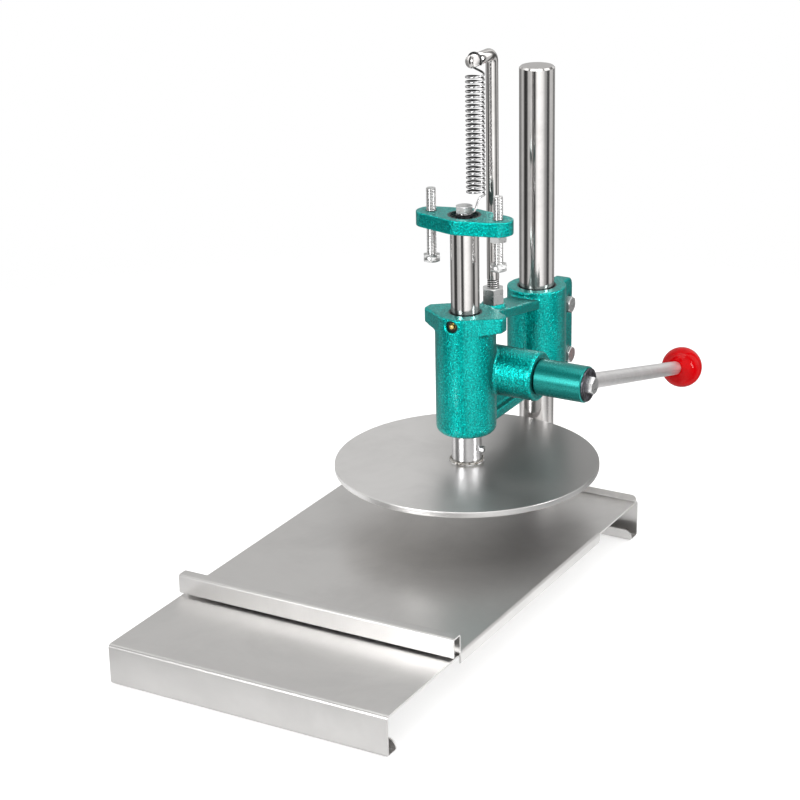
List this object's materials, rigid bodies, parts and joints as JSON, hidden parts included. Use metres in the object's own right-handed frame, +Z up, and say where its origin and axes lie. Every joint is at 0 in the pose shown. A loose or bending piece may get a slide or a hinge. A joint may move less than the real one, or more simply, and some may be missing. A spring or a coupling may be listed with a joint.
{
  "type": "pizza dough press",
  "caption": "Bench press with a hand lever, rack and pinion, and a return spring, that lowers a round plate onto a sliding tray to flatten dough.",
  "frame": {"origin": "on the table, under the axis of the ram and its disc, on the underside of the base's rail", "axes": "+Z up, +Y from the ram to the column at the rear, +X to the side of the hand lever"},
  "size_m": [0.2416, 0.5975, 0.4172],
  "materials": {
    "stainless": "brushed stainless sheet",
    "rail_steel": "mill-finished steel tube",
    "dark_iron": "turned cast iron",
    "chrome": "hard chrome, polished",
    "zinc": "bright zinc plate",
    "turned_steel": "turned stainless",
    "casting": "metallic teal hammer finish on a casting",
    "hub_paint": "smooth metallic teal paint",
    "gear_steel": "machined steel, oiled",
    "black_steel": "black oxide",
    "brass": "plain",
    "spring_wire": "drawn spring wire",
    "knob_red": "glossy red phenolic"
  },
  "bodies": {
    "base": {"base_sheet": "stainless", "base_rail": "rail_steel", "base_screws": "zinc", "base_screw_nuts": "zinc", "column": "chrome", "column_foot": "dark_iron", "foot_bolts": "zinc", "foot_nuts": "zinc", "column_nut": "zinc"},
    "tray": {"tray": "stainless"},
    "head": {"press_head": "casting", "clamp_bolts": "zinc", "clamp_nuts": "zinc", "oiler": "brass", "keeper_screw": "black_steel", "spring_post": "chrome", "post_nuts": "zinc", "return_spring": "spring_wire"},
    "ram": {"ram": "chrome", "yoke_plate": "casting", "yoke_bolt": "zinc", "yoke_spacer": "black_steel", "stop_bolts": "zinc", "stop_nut": "zinc", "disc_socket": "turned_steel", "disc_set_screw": "zinc", "press_disc": "stainless"},
    "crank": {"pinion_shaft": "gear_steel", "lever_hub": "hub_paint", "hub_washer": "black_steel", "hub_end_bolt": "zinc", "lever_rod": "chrome", "ball_knob": "knob_red"}
  },
  "joints": [
    {"name": "ram_slide", "type": "slide", "parent": "head", "child": "ram", "axis": [0, 0, -1], "range_m": [0, 0.032], "stiffness_N_per_m": 1100, "springref_m": -0.055, "deforming": ["return_spring"]},
    {"name": "lever_turn", "type": "hinge", "parent": "head", "child": "crank", "pos_m": [0, 0.02, 0.1545], "axis": [1, 0, 0], "range_deg": [0, 168]},
    {"name": "tray_slide", "type": "slide", "parent": "base", "child": "tray", "axis": [0, -1, 0], "range_m": [-0.02, 0.094]},
    {"name": "head_height", "type": "slide", "parent": "base", "child": "head", "axis": [0, 0, 1], "range_m": [0, 0.18]}
  ],
  "couplings": [
    {"joint": "lever_turn", "follows": "ram_slide", "rad_per_m": 90.909}
  ]
}
